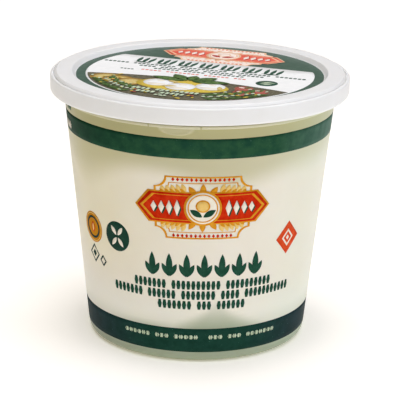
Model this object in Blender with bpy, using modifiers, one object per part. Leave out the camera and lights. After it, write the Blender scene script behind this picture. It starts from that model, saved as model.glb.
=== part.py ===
"""A shut round tub of burrata: a tapered milky polypropylene tub, its press-fit lid with a round
label in the recess, and four soft cheese balls standing in it. Metres, +Z up. The origin is at the
middle of the foot, on the surface that the tub stands on, and the print's front faces -Y."""

import math

import bmesh
import bpy
import numpy as np

MM = 0.001

# Driving dimensions, in millimetres
LID_RADIUS = 60.0
TOTAL_HEIGHT = 108.4
TURN_STEPS = 80

# The tub
FOOT_WALL_RADIUS = 44.2  # where the tapered wall's line meets the ground
WALL_TAPER = 0.1032  # growth of the outer radius for each millimetre of height
WALL = 0.8
HEEL_ROUND = 2.2
FLOOR_ROUND = 2.5
FOOT_WIDTH = 3.0
BASE_RECESS = 1.4
BASE_THICKNESS = 1.0
RING_BOTTOM, RING_TOP = 97.9, 98.9  # thin ring round the wall, just below the lid
RING_PROUD = 0.6
RIM_RADIUS = 58.6
RIM_BOTTOM, RIM_TOP = 103.8, 105.2
MOUTH_CHAMFER = 0.8
FILLET = 0.4  # the small slopes at the foot of a ring, a rim or a hem

# The place to lift the lid: a pad that hangs from the ring, between two notches.
# Angles are degrees from the print's front, positive to the right.
NOTCH_ANGLES = (-20.4, 0.9)
NOTCH_WIDTH = 0.5
PAD_ANGLE = -9.0
PAD_WIDTH, PAD_DROP, PAD_PROUD = 14.0, 2.8, 0.5
PAD_RIM_SUNK, PAD_BACK = 0.1, 0.4  # how deep the pad's rim and its back lie in the wall

# The lid
SKIRT_BOTTOM, SKIRT_DRAFT = 100.4, 0.25
BEAD_HEIGHT, BEAD_ROUND = 106.9, 0.7
PLATEAU_OUTER, PLATEAU_INNER, PLATEAU_ROUND = 58.1, 51.6, 0.5
GROOVE_RADIUS, GROOVE_HEIGHT = 58.3, 106.5  # between the raised ring and the edge bead
PANEL_RADIUS = 50.2
PANEL_HEIGHT = 106.1
LID_WALL = 0.8
LABEL_RADIUS, LABEL_TOP, LABEL_THICKNESS = 49.7, 106.7, 0.3
GRIP_HEIGHT, GRIP_DEPTH, GRIP_REACH = 102.6, 0.9, 0.8  # the inner ridge, under the tub's rim

# The cheese
GAP = 0.3  # between pieces that touch
BALL_FLOOR_GAP = 0.4
BALL_MIDDLE = 39.0  # height of the widest part
BALL_OFFSET = 24.5  # of each ball's middle from the tub's axis
BALL_SPREAD = 34.0  # the free ball's half width
SOFTNESS = 9.0  # a higher power presses the balls flatter against what holds them
FRONT_SEAM = 10.0  # degrees from the print's front to the seam between the front balls
BALLS = {  # for each ball: degrees from the front seam to its middle, and the height of its top
    "ball_front_left": (-45.0, 85.0),
    "ball_front_right": (45.0, 83.5),
    "ball_back_right": (135.0, 87.0),
    "ball_back_left": (225.0, 82.0),
}


def wall_radius(height):
    """Outer radius of the tapered wall at a height."""
    return FOOT_WALL_RADIUS + WALL_TAPER * height


def arc(centre, radius, start, end, count):
    """Points of a circle's arc in the profile's plane, from one angle in degrees to another."""
    angles = np.radians(np.linspace(start, end, count))
    return [
        (centre[0] + radius * math.cos(a), centre[1] + radius * math.sin(a))
        for a in angles
    ]


def plastic(name, colour, roughness, subsurface=0.0):
    """A Principled material for a plastic or for the cheese."""
    made = bpy.data.materials.new(name)
    made.use_nodes = True
    shader = made.node_tree.nodes["Principled BSDF"]
    shader.inputs["Base Color"].default_value = (*colour, 1.0)
    shader.inputs["Roughness"].default_value = roughness
    shader.inputs["Metallic"].default_value = 0.0
    shader.inputs["Subsurface Weight"].default_value = subsurface
    made.diffuse_color = (*colour, 1.0)
    return made


def collection(name):
    made = bpy.data.collections.new(name)
    bpy.context.scene.collection.children.link(made)
    return made


def object_of(name, mesh, home, material=None):
    made = bpy.data.objects.new(name, mesh)
    home.objects.link(made)
    if material:
        mesh.materials.append(material)
    return made


def smooth(mesh, sharp_degrees=35.0):
    mesh.shade_smooth()
    mesh.set_sharp_from_angle(angle=math.radians(sharp_degrees))


def turned(name, profile, home, material):
    """A solid of revolution: the profile, in millimetres, carried round Z by a Screw modifier."""
    mesh = bpy.data.meshes.new(name)
    points = [(x * MM, 0.0, z * MM) for x, z in profile]
    edges = [(i, i + 1) for i in range(len(points) - 1)]
    mesh.from_pydata(points, edges, [])
    made = object_of(name, mesh, home, material)
    screw = made.modifiers.new("turn", "SCREW")
    screw.steps = screw.render_steps = TURN_STEPS
    screw.use_merge_vertices = True
    screw.merge_threshold = 0.00001
    screw.use_smooth_shade = True
    return made


def tub_profile():
    """Inner floor, up the inner wall, over the rim, down the outer wall, and under the base."""
    floor = BASE_RECESS + BASE_THICKNESS
    slope = math.degrees(math.atan(WALL_TAPER))
    corner = (wall_radius(floor) - WALL - FLOOR_ROUND, floor + FLOOR_ROUND)
    mouth = RIM_TOP - MOUTH_CHAMFER
    rim_round = (RIM_TOP - RIM_BOTTOM) / 2
    ring = wall_radius(RING_BOTTOM) + RING_PROUD
    heel = (wall_radius(HEEL_ROUND) - HEEL_ROUND, HEEL_ROUND)
    foot_inner = heel[0] - FOOT_WIDTH
    points = [(0.0, floor)]
    points += arc(corner, FLOOR_ROUND, -90, -slope, 4)
    points += [
        (wall_radius(mouth) - WALL, mouth),
        (wall_radius(RIM_TOP) - WALL + MOUTH_CHAMFER / 2, RIM_TOP),
    ]
    points += arc(
        (RIM_RADIUS - rim_round, RIM_BOTTOM + rim_round), rim_round, 90, -90, 5
    )
    for height in (RIM_BOTTOM - FILLET, RING_TOP + FILLET):
        points.append((wall_radius(height), height))
    points += [
        (ring, RING_TOP),
        (ring, RING_BOTTOM + FILLET / 2),
        (wall_radius(RING_BOTTOM), RING_BOTTOM),
    ]
    for height in (RING_BOTTOM - PAD_DROP - FILLET, 60.0, 25.0):
        points.append((wall_radius(height), height))
    points += arc(heel, HEEL_ROUND, -slope, -90, 6)
    points += [
        (foot_inner, 0.0),
        (foot_inner - BASE_RECESS / 2, BASE_RECESS - FILLET / 2),
        (foot_inner - BASE_RECESS, BASE_RECESS),
        (0.0, BASE_RECESS),
    ]
    return points


def lid_profile():
    """Across the recessed panel, over the raised ring and the edge bead, down the skirt, and back
    along the inside."""
    inner_top = TOTAL_HEIGHT - LID_WALL
    panel_under = PANEL_HEIGHT - LID_WALL
    round_height = TOTAL_HEIGHT - PLATEAU_ROUND
    skirt_inner = LID_RADIUS - LID_WALL
    lip = LID_RADIUS - SKIRT_DRAFT
    hem = SKIRT_BOTTOM + FILLET
    step = LID_WALL + FILLET
    points = [(0.0, PANEL_HEIGHT), (PANEL_RADIUS, PANEL_HEIGHT)]
    points += arc((PLATEAU_INNER, round_height), PLATEAU_ROUND, 160, 90, 3)
    points += arc(
        (PLATEAU_OUTER - PLATEAU_ROUND, round_height), PLATEAU_ROUND, 90, 10, 4
    )
    points.append((GROOVE_RADIUS, GROOVE_HEIGHT))
    points += arc(
        (LID_RADIUS - BEAD_ROUND, BEAD_HEIGHT - BEAD_ROUND), BEAD_ROUND, 120, 0, 5
    )
    points += [
        (LID_RADIUS, SKIRT_BOTTOM + 2.0),
        (lip, hem),
        (lip - FILLET, SKIRT_BOTTOM),
        (skirt_inner, hem),
        (skirt_inner, GRIP_HEIGHT - GRIP_REACH),
        (skirt_inner - GRIP_DEPTH, GRIP_HEIGHT),
        (skirt_inner, GRIP_HEIGHT + GRIP_REACH),
        (skirt_inner, GROOVE_HEIGHT - LID_WALL),
        (GROOVE_RADIUS - LID_WALL, GROOVE_HEIGHT - LID_WALL),
        (PLATEAU_OUTER - LID_WALL, inner_top - FILLET),
        (PLATEAU_OUTER - LID_WALL - FILLET, inner_top),
        (PLATEAU_INNER + step, inner_top),
        (PANEL_RADIUS + step, panel_under),
        (0.0, panel_under),
    ]
    return points


def ring_sector(name, radii, heights, middle, span, home):
    """A closed piece of a ring, from one radius and height to another, as a cutter."""
    steps = 2
    start = math.radians(-90.0 + middle - span / 2)
    corners = [
        (radii[0], heights[0]),
        (radii[1], heights[0]),
        (radii[1], heights[1]),
        (radii[0], heights[1]),
    ]
    shape = bmesh.new()
    points = [
        shape.verts.new((r * MM * math.cos(start), r * MM * math.sin(start), z * MM))
        for r, z in corners
    ]
    face = shape.faces.new(points)
    bmesh.ops.spin(
        shape,
        geom=[face, *face.verts, *face.edges],
        cent=(0.0, 0.0, 0.0),
        axis=(0.0, 0.0, 1.0),
        angle=math.radians(span),
        steps=steps,
    )
    bmesh.ops.recalc_face_normals(shape, faces=shape.faces)
    mesh = bpy.data.meshes.new(name)
    shape.to_mesh(mesh)
    shape.free()
    made = object_of(name, mesh, home)
    made.hide_render = True
    made.display_type = "WIRE"
    return made


def thumb_pad(home):
    """A flat ball wrapped on the wall: its lower half is the crescent that hangs from the ring. Its
    front stands proud of the wall, its rim is sunk a little, and its back stays within the wall."""
    half_turn = PAD_WIDTH / 2 / wall_radius(RING_BOTTOM)
    shape = bmesh.new()
    bmesh.ops.create_uvsphere(shape, u_segments=24, v_segments=12, radius=1.0)
    for vertex in shape.verts:
        across, out, up = vertex.co.x, -vertex.co.y, vertex.co.z
        height = RING_BOTTOM + up * PAD_DROP
        depth = PAD_PROUD + PAD_RIM_SUNK if out > 0 else PAD_BACK
        radius = wall_radius(height) - PAD_RIM_SUNK + out * depth
        turn = math.radians(PAD_ANGLE) + across * half_turn
        vertex.co = (
            radius * math.sin(turn) * MM,
            -radius * math.cos(turn) * MM,
            height * MM,
        )
    mesh = bpy.data.meshes.new("thumb_pad")
    shape.to_mesh(mesh)
    shape.free()
    made = object_of("thumb_pad", mesh, home)
    made.hide_render = True
    made.display_type = "WIRE"
    return made


def cut_or_join(target, other, operation):
    change = target.modifiers.new(f"{operation.lower()} {other.name}", "BOOLEAN")
    change.operation = operation
    change.object = other


def build_tub(home, cutters, material):
    """The turned tub, with the ring cut by two notches and the pad joined on between them."""
    tub = turned("tub", tub_profile(), home, material)
    smooth(tub.data)
    floor = wall_radius(RING_TOP) + 0.05
    radii = (floor, floor + 2.0)
    heights = (RING_BOTTOM - FILLET, RING_TOP + 2 * FILLET)
    span = math.degrees(NOTCH_WIDTH / floor)
    for side, angle in zip(("left", "right"), NOTCH_ANGLES):
        notch = ring_sector(f"notch_{side}", radii, heights, angle, span, cutters)
        cut_or_join(tub, notch, "DIFFERENCE")
    cut_or_join(tub, thumb_pad(cutters), "UNION")
    return tub


def build_lid(home, material):
    lid = turned("lid", lid_profile(), home, material)
    smooth(lid.data)
    return lid


def build_label(home, material):
    """The printed disc that lies in the lid's recess."""
    bottom = LABEL_TOP - LABEL_THICKNESS
    profile = [
        (0.0, LABEL_TOP),
        (LABEL_RADIUS, LABEL_TOP),
        (LABEL_RADIUS, bottom),
        (0.0, bottom),
    ]
    label = turned("lid_label", profile, home, material)
    smooth(label.data)
    return label


def distance_to_plane(middle, directions, normal, offset):
    """How far each ray from the middle goes before the plane normal . x = offset, on the side away
    from the normal; a ray that never meets it goes on for ever."""
    towards = -(directions @ normal)
    room = middle @ normal - offset
    return np.where(towards > 1e-6, room / np.maximum(towards, 1e-6), np.inf)


def distance_to_wall(middle, directions):
    """How far each ray from the middle goes inside the tub before it meets the tapered inner wall."""
    base = FOOT_WALL_RADIUS - WALL - GAP
    radius = base + WALL_TAPER * middle[2]
    growth = WALL_TAPER * directions[:, 2]
    a = directions[:, 0] ** 2 + directions[:, 1] ** 2 - growth**2
    b = 2 * (directions[:, :2] @ middle[:2] - radius * growth)
    c = middle[:2] @ middle[:2] - radius**2
    a = np.where(np.abs(a) < 1e-6, 1e-6, a)
    root = np.sqrt(np.maximum(b * b - 4 * a * c, 0.0))
    reach = (-b + root) / (2 * a)
    return np.where(reach > 0, reach, np.inf)


def ball_reach(middle, directions, bisector, top):
    """Radius of a soft ball in each direction: a free ellipsoid, pressed against the wall, the floor
    and its two neighbours. The pressed distances are joined by a power mean, which rounds them."""
    floor = BASE_RECESS + BASE_THICKNESS + BALL_FLOOR_GAP
    limits = [distance_to_wall(middle, directions)]
    limits.append(
        distance_to_plane(middle, directions, np.array((0.0, 0.0, 1.0)), floor)
    )
    for side in (-45.0, 45.0):
        turn = math.radians(bisector + side)
        normal = np.array((math.cos(turn), math.sin(turn), 0.0))
        limits.append(distance_to_plane(middle, directions, normal, GAP / 2))
    half = np.array((BALL_SPREAD, BALL_SPREAD, top - BALL_MIDDLE))
    limits.append(1.0 / np.linalg.norm(directions / half, axis=1))
    total = sum((1.0 / limit) ** SOFTNESS for limit in limits)
    return total ** (-1.0 / SOFTNESS)


def build_ball(name, bisector, top, home, material):
    """One soft ball, which fills a quarter of the tub. The bisector is its direction in degrees
    from +X, and it stands up to the given top."""
    shape = bmesh.new()
    bmesh.ops.create_uvsphere(shape, u_segments=24, v_segments=15, radius=1.0)
    directions = np.array([vertex.co[:] for vertex in shape.verts])
    directions /= np.linalg.norm(directions, axis=1)[:, None]
    turn = math.radians(bisector)
    middle = np.array(
        (BALL_OFFSET * math.cos(turn), BALL_OFFSET * math.sin(turn), BALL_MIDDLE)
    )
    reach = ball_reach(middle, directions, bisector, top)
    for vertex, direction, length in zip(shape.verts, directions, reach):
        vertex.co = direction * length * MM
    mesh = bpy.data.meshes.new(name)
    shape.to_mesh(mesh)
    shape.free()
    mesh.shade_smooth()
    made = object_of(name, mesh, home, material)
    made.location = middle * MM
    return made


def main():
    for old in list(bpy.data.objects):
        bpy.data.objects.remove(old)
    pieces = collection("burrata_tub")
    cutters = collection("cutters")
    milky = plastic("natural polypropylene", (0.80, 0.76, 0.62), 0.35, 0.2)
    white = plastic("white polypropylene", (0.86, 0.86, 0.85), 0.4)
    print_green = plastic("label film, printed green", (0.035, 0.085, 0.06), 0.35)
    cheese = plastic("burrata", (0.90, 0.88, 0.80), 0.45, 0.3)
    build_tub(pieces, cutters, milky)
    build_lid(pieces, white)
    build_label(pieces, print_green)
    for name, (side, top) in BALLS.items():
        build_ball(name, -90.0 + FRONT_SEAM + side, top, pieces, cheese)


main()
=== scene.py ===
"""The looks of a shut round tub of burrata: a milky polypropylene tub printed in green, red and
gold, a white press-fit lid with a round label in its recess, and four soft cheese balls in their
liquid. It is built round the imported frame, in its place: +Z up, the print's front facing -Y."""

import math

import bmesh
import bpy
import numpy as np
from mathutils import Matrix, Vector


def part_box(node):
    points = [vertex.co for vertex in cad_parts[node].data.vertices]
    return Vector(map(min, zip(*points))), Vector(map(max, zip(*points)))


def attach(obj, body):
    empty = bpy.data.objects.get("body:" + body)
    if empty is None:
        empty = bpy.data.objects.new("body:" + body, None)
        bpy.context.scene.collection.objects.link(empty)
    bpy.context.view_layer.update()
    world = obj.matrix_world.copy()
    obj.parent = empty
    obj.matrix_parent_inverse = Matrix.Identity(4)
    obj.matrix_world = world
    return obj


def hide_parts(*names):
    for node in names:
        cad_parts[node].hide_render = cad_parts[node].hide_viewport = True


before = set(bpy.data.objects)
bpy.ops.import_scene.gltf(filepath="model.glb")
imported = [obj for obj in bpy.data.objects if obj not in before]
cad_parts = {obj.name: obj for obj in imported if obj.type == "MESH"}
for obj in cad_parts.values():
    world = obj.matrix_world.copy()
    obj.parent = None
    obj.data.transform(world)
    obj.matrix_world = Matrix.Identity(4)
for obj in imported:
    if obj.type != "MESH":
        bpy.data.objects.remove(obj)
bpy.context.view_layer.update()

MM = 0.001  # every size below is in millimetres, and angles are in degrees


def node_top_and_radius(node):
    """Height of a node's top and its half width across X, in millimetres."""
    low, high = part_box(node)
    return high.z / MM, (high.x - low.x) / 2 / MM


# Sizes that the frame gives
LID_TOP, LID_RADIUS = node_top_and_radius("lid")
RIM_TOP, RIM_RADIUS = node_top_and_radius("tub")
LABEL_TOP, LABEL_RADIUS = node_top_and_radius("lid_label")
SKIRT_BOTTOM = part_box("lid")[0].z / MM

# The tub's wall and foot
FOOT_WALL_RADIUS = 44.2  # where the tapered wall's line meets the ground
WALL_TAPER = 0.1032  # growth of the outer radius for each millimetre of height
WALL = 0.8
FLOOR_TOP, BASE_UNDER = 2.4, 1.4  # heights of the floor inside and of its underside
FOOT_INNER, HEEL = 39.2, 3.7  # inner radius of the foot ring, and rounding of the heel

# The ring under the lid, its two notches, and the pad to lift the lid by, whose soft edge has a
# fine raised line along it
RING_BOTTOM, RING_TOP, RING_PROUD = RIM_TOP - 7.1, RIM_TOP - 5.9, 0.6
NOTCH_ANGLES, NOTCH_WIDTH = (-20.4, 0.9), 0.5
NOTCH_DEPTH = 0.7  # as a share of how proud the ring stands
PAD_ANGLE, PAD_HALF_WIDTH, PAD_DROP = -9.0, 7.4, 2.9
PAD_PROUD, PAD_EDGE, PAD_LINE, PAD_LINE_HALF = 0.35, 0.5, 0.16, 0.28

# The lid: radii of the recess's foot and edge, of the raised ring's outer edge and its slope's
# foot, and of the groove; how far the edge bead and the groove lie below the top; the ridge that
# grips the tub's rim; and how thick the label's film is, with the gap under it
RECESS_FOOT, RECESS_EDGE, RAISED_EDGE, SLOPE_FOOT = 50.0, 51.3, 57.55, 58.4
GROOVE_INNER, GROOVE_OUTER = 58.45, 58.8
BEAD_DROP, GROOVE_DROP = 1.0, 1.8
GRIP_DROP, GRIP_HALF, GRIP_PROUD = 2.6, 0.8, 0.9
FILM, UNDER_FILM = 0.3, 0.02

# The cheese balls: the turn of the seam between the front two, and degrees from it to each ball's
# middle
FRONT_SEAM = 10.0
BALL_SIDES = {
    "ball_front_left": -45.0,
    "ball_front_right": 45.0,
    "ball_back_right": 135.0,
    "ball_back_left": 225.0,
}
BALL_MIDDLE, BALL_OFFSET = 39.0, 24.5  # height of a ball's middle, and how far it is off the axis
BALL_SPREAD, SOFTNESS = 34.0, 9.0  # a free ball's half width, and the power that presses it flat
BALL_ROWS, BALL_STEPS = 65, 96  # points up and round a ball
GAP = 0.3  # between a ball and what it is pressed against

# What shows through the wall
LIQUID_LEVEL = 91.0
CHEESE_EDGE = 81.5  # up to where cheese touches the wall
CLEFT_TOP = 28.0  # of the liquid that shows between the feet of two balls
FAR_LEFT = -84.0  # the turn at which the wall's left edge stands in the photograph

# The print: heights of the two bands on the wall, how proud the first layer of ink stands, and how
# much higher each next one does
TOP_BAND = (86.1, 94.1)
LOW_BAND = (4.5, 14.7)
INK, INK_LAYER = 0.03, 0.03

# The print on the label: its turn in the lid, the radius of the white zone and the picture zone,
# the white zone's upper edge, and the picture zone's upper edge with its ends and its rise
LABEL_PRINT_TURN = -20.0
LABEL_ZONE_RADIUS = 45.9
LABEL_WHITE_TOP = 20.1
PICTURE_SIDES, PICTURE_RISE = -17.2, 6.4
PICTURE_TOP_LAYER = 17  # of ink, over all layers of the picture

# How far the floor runs to each side, and the strengths of its own light near the tub and far from
# it, and of the surroundings
FLOOR_REACH = 4000.0
FLOOR_GLOW, FAR_GLOW, ROOM_GLOW = 0.25, 0.8, 0.10

# The camera, found from the circles of the lid, the bands and the foot
CAMERA_LENS = 165.5
CAMERA_DISTANCE, CAMERA_DOWN, CAMERA_ROLL = 753.6, 17.29, 0.94
CAMERA_TARGET = (0.8, 0.0, 53.5)


def wall_radius(height):
    """Outer radius of the tapered wall at a height."""
    return FOOT_WALL_RADIUS + WALL_TAPER * height


def smoothstep(low, high, value):
    """0 at low and 1 at high, with a cubic in between, and held beyond them. High can be the lesser
    of the two, and the curve then falls."""
    share = np.clip((value - low) / (high - low), 0.0, 1.0)
    return share * share * (3 - 2 * share)


def bell(value, middle, width):
    """1 at the middle and falling to both sides as exp(-(distance / width)^2)."""
    return np.exp(-(((value - middle) / width) ** 2))


# ---------------------------------------------------------------------------------------------
# Meshes


def grid_faces(rows, columns, closed=True):
    """Quads between the neighbouring points of a grid, whose rows may close on themselves."""
    row = np.arange(rows - 1)[:, None] * columns
    column = np.arange(columns if closed else columns - 1)[None, :]
    next_row, next_column = row + columns, (column + 1) % columns
    corners = (row + column, row + next_column, next_row + next_column, next_row + column)
    return np.stack(corners, axis=-1).reshape(-1, 4)


def piece(name, points, faces, material, values=None, replaces=()):
    """A mesh from points in millimetres and quads. Values are numbers for each point, kept as
    attributes. Points at one place are made one, so that poles and seams close."""
    mesh = bpy.data.meshes.new(name)
    mesh.from_pydata((points * MM).tolist(), [], faces.tolist())
    for key, numbers in (values or {}).items():
        kept = mesh.attributes.new(key, "FLOAT", "POINT")
        kept.data.foreach_set("value", numbers.astype(np.float32).ravel())
    shape = bmesh.new()
    shape.from_mesh(mesh)
    bmesh.ops.remove_doubles(shape, verts=shape.verts, dist=0.001 * MM)
    shape.to_mesh(mesh)
    shape.free()
    mesh.shade_smooth()
    mesh.set_sharp_from_angle(angle=math.radians(40.0))
    mesh.materials.append(material)
    made = bpy.data.objects.new(name, mesh)
    bpy.context.scene.collection.objects.link(made)
    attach(made, "root")
    if replaces:
        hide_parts(*replaces)
    return made


def filleted(corners, longest):
    """A profile through corners (radius, height, fillet). Each fillet is an arc that touches both
    of its corner's sides, and a straight run gets a point at least each longest millimetres."""
    places = np.array([corner[:2] for corner in corners])
    runs = [places[:1]]
    for before, here, after, (_, _, fillet) in zip(
        places, places[1:], places[2:], corners[1:]
    ):
        back = (before - here) / np.linalg.norm(before - here)
        ahead = (after - here) / np.linalg.norm(after - here)
        half = math.acos(np.clip(back @ ahead, -1.0, 1.0)) / 2
        middle = here + (back + ahead) / np.linalg.norm(back + ahead) * (
            fillet / math.sin(half)
        )
        first, last = (here + side * fillet / math.tan(half) - middle for side in (back, ahead))
        start = math.atan2(first[1], first[0])
        turn = math.atan2(last[1], last[0]) - start
        turn = (turn + math.pi) % (2 * math.pi) - math.pi
        angles = start + turn * np.linspace(0, 1, max(3, math.ceil(abs(turn) / 0.2) + 1))
        runs.append(middle + fillet * np.stack([np.cos(angles), np.sin(angles)], axis=1))
    runs.append(places[-1:])
    line = np.concatenate(runs)
    counts = np.ceil(np.linalg.norm(np.diff(line, axis=0), axis=1) / longest).astype(int)
    pieces = [
        np.linspace(start, end, max(count, 1), endpoint=False)
        for start, end, count in zip(line, line[1:], counts)
    ]
    return np.concatenate([*pieces, line[-1:]])


def around(radius, height, turn):
    """Places at a radius and a height, at a turn from the front: (r sin a, -r cos a, z)."""
    angle = np.radians(turn)
    radius, height, angle = np.broadcast_arrays(radius, height, angle)
    return np.stack([radius * np.sin(angle), -radius * np.cos(angle), height], axis=-1)


def turned_piece(name, corners, longest, steps, material, replaces=()):
    """A closed body of revolution: a filleted profile, which starts and ends on the axis, carried
    round Z in even steps."""
    profile = filleted(corners, longest)
    turns = np.linspace(0, 360, steps, endpoint=False)
    points = around(profile[:, :1], profile[:, 1:], turns[None, :]).reshape(-1, 3)
    faces = grid_faces(len(profile), steps)[:, ::-1]
    piece(name, points, faces, material, replaces=replaces)


# ---------------------------------------------------------------------------------------------
# Materials


def linear(colour):
    """An sRGB hex colour as linear red, green, blue and 1."""
    parts = [int(colour[i : i + 2], 16) / 255 for i in (0, 2, 4)]
    curve = [p / 12.92 if p <= 0.04045 else ((p + 0.055) / 1.055) ** 2.4 for p in parts]
    return (*curve, 1.0)


# Settings of a node that mixes or multiplies colours, and the range in which most values of a
# noise texture lie, for a node that stretches it
MIXED = {"data_type": "RGBA"}
MULTIPLIED = {"data_type": "RGBA", "blend_type": "MULTIPLY"}
MOST_NOISE = {"From_Min": 0.3, "From_Max": 0.7}


def feed(tree, made, **inputs):
    """Fills a node's inputs, each by its name with _ for a space, with a value, a hex colour or a
    socket to link."""
    for key, value in inputs.items():
        name = key.replace("_", " ")
        socket = next(s for s in made.inputs if s.enabled and s.name == name)
        if isinstance(value, bpy.types.NodeSocket):
            tree.links.new(value, socket)
        else:
            socket.default_value = linear(value) if isinstance(value, str) else value


def node(tree, kind, settings=None, output=None, **inputs):
    """Adds a node with its settings and inputs, and gives its output of a name, or its first."""
    made = tree.nodes.new("ShaderNode" + kind)
    for key, value in (settings or {}).items():
        setattr(made, key, value)
    feed(tree, made, **inputs)
    return next(s for s in made.outputs if s.enabled and output in (None, s.name))


def finish(name, **inputs):
    """A material with one Principled shader. Gives the material, its tree and its shader."""
    made = bpy.data.materials.new(name)
    made.use_nodes = True
    shader = made.node_tree.nodes["Principled BSDF"]
    feed(made.node_tree, shader, **inputs)
    return made, made.node_tree, shader


def mottle(tree, size, detail=2.0, stretch=(1.0, 1.0, 1.0)):
    """Noise from 0 to 1 whose patches are about size millimetres wide, on Object coordinates."""
    place = node(tree, "TexCoord", None, "Object")
    place = node(tree, "Mapping", Vector=place, Scale=stretch)
    fineness = 1.0 / (size * MM)
    return node(tree, "TexNoise", Vector=place, Scale=fineness, Detail=detail, Roughness=0.55)


def natural_polypropylene():
    """Natural polypropylene, injection moulded and thin: milky, so that what lies behind it shows
    as soft patches, pale where cheese touches the wall and khaki where liquid is behind. The darker
    khaki above the liquid is painted shade under the lid, and the attributes also carry painted
    light and shade."""
    made, tree, shader = finish(
        "natural_polypropylene",
        Base_Color="E9E4D5",
        Roughness=0.36,
        IOR=1.49,
        Subsurface_Weight=0.25,
        Subsurface_Radius=(1.0, 0.8, 0.5),
        Subsurface_Scale=0.002,
    )
    colour = node(tree, "Mix", MIXED, Factor=mottle(tree, 14.0), A="ECE3D1", B="F1EADA")
    for seen, tint, settings in (
        ("pale", "F2EFE0", MIXED),
        ("liquid", "C6C19C", MIXED),
        ("cleft", "A3AE92", MIXED),
        # Painted shade: the air space under the lid is drawn as a darker khaki.
        ("headspace_shade", "B4AF7D", MIXED),
        # The foot's solid corner, partly painted shade from beneath the tub.
        ("foot", "A4AF95", MIXED),
        # Painted highlight on the ring and the pad.
        ("rib_painted_light", "DAD6BA", MIXED),
        # Painted warm shade at the left, and a greener tint at the right.
        ("yellow", "FCFAE8", MULTIPLIED),
        ("green", "F6FFFA", MULTIPLIED),
        # Painted shade at the left, above the upper band and at the heel, with a little of the far
        # side's print.
        ("far_print_and_left_shade", "4A4F3C", MIXED),
    ):
        share = node(tree, "Attribute", {"attribute_name": seen}, "Fac")
        colour = node(tree, "Mix", settings, Factor=share, A=colour, B=tint)
    sheen = node(tree, "MapRange", Value=mottle(tree, 3.0), **MOST_NOISE, To_Min=0.32, To_Max=0.40)
    ripple = node(tree, "Bump", Height=mottle(tree, 2.2, 3.0), Distance=0.02 * MM, Strength=1.0)
    feed(tree, shader, Base_Color=colour, Roughness=sheen, Normal=ripple)
    return made


def white_polypropylene():
    """White pigmented polypropylene, injection moulded in a spark-eroded mould: a fine satin."""
    made, tree, shader = finish(
        "white_polypropylene",
        Base_Color="F2F2F0",
        Roughness=0.40,
        IOR=1.49,
        Subsurface_Weight=0.15,
        Subsurface_Radius=(1.0, 0.9, 0.8),
        Subsurface_Scale=0.001,
    )
    colour = node(tree, "Mix", MIXED, Factor=mottle(tree, 9.0), A="E9E9E6", B="EFEFEE")
    sheen = node(tree, "MapRange", Value=mottle(tree, 1.5), **MOST_NOISE, To_Min=0.36, To_Max=0.46)
    # The real grain is about 0.05 mm, too fine to show, so it is drawn at 0.5 mm.
    grain = node(tree, "Bump", Height=mottle(tree, 0.5, 3.0), Distance=0.012 * MM, Strength=1.0)
    feed(tree, shader, Base_Color=colour, Roughness=sheen, Normal=grain)
    return made


def ink(name, dark, light, roughness=0.45, patch=2.5, varied=None):
    """Printing ink on plastic: it lies thin and nearly without gloss, and its colour wavers a
    little from patch to patch. A function can vary the colour further."""
    made, tree, shader = finish(
        name,
        Base_Color=dark,
        Roughness=roughness,
        IOR=1.5,
        Specular_IOR_Level=0.02,
    )
    patches = node(tree, "MapRange", Value=mottle(tree, patch, 4.0), **MOST_NOISE)
    colour = node(tree, "Mix", MIXED, Factor=patches, A=dark, B=light)
    if varied:
        colour = varied(tree, colour)
    low, high = roughness - 0.04, roughness + 0.05
    sheen = node(tree, "MapRange", Value=mottle(tree, 4.0), **MOST_NOISE, To_Min=low, To_Max=high)
    feed(tree, shader, Base_Color=colour, Roughness=sheen)
    return made


def band_ink_light_and_shade(tree, colour):
    """The dark ink of the two bands: a painted blue-grey shade towards both sides of the lower
    band; paler high on the wall, partly where it has liquid or air behind it and partly as painted
    light, with painted shade deepest there at the left and a painted reflection palest at the
    right; and with a few pale specks where the ink missed."""
    place = node(tree, "TexCoord", None, "Object")
    across = node(tree, "SeparateXYZ", None, "X", Vector=place)
    up = node(tree, "SeparateXYZ", None, "Z", Vector=place)
    aside = node(tree, "Math", {"operation": "ABSOLUTE"}, Value=across)
    patches = node(tree, "MapRange", Value=mottle(tree, 4.0, 4.0), From_Min=0.35, From_Max=0.65)
    # Painted shade at the lower band's sides and at the upper band's left, and a painted reflection
    # at its right.
    side_shade, upper, upper_left_shade, upper_right_sheen = (
        node(tree, "Mix", MIXED, Factor=patches, A=dark, B=light)
        for dark, light in (
            ("1B3032", "253A3F"),
            ("1C4534", "2B5439"),
            ("133A28", "1C4630"),
            ("466859", "567869"),
        )
    )
    to_sides, to_top, to_left, to_right = (
        node(tree, "MapRange", Value=value, From_Min=start * MM, From_Max=end * MM)
        for value, start, end in (
            (aside, 18.0, 40.0),
            (up, LOW_BAND[1], TOP_BAND[0]),
            (across, -15.0, -42.0),
            (across, 30.0, 54.0),
        )
    )
    upper = node(tree, "Mix", MIXED, Factor=to_left, A=upper, B=upper_left_shade)
    upper = node(tree, "Mix", MIXED, Factor=to_right, A=upper, B=upper_right_sheen)
    colour = node(tree, "Mix", MIXED, Factor=to_sides, A=colour, B=side_shade)
    colour = node(tree, "Mix", MIXED, Factor=to_top, A=colour, B=upper)
    missed = node(tree, "MapRange", Value=mottle(tree, 0.45, 1.0), From_Min=0.76, From_Max=0.80)
    return node(tree, "Mix", MIXED, Factor=missed, A=colour, B="5F8A76")


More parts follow.
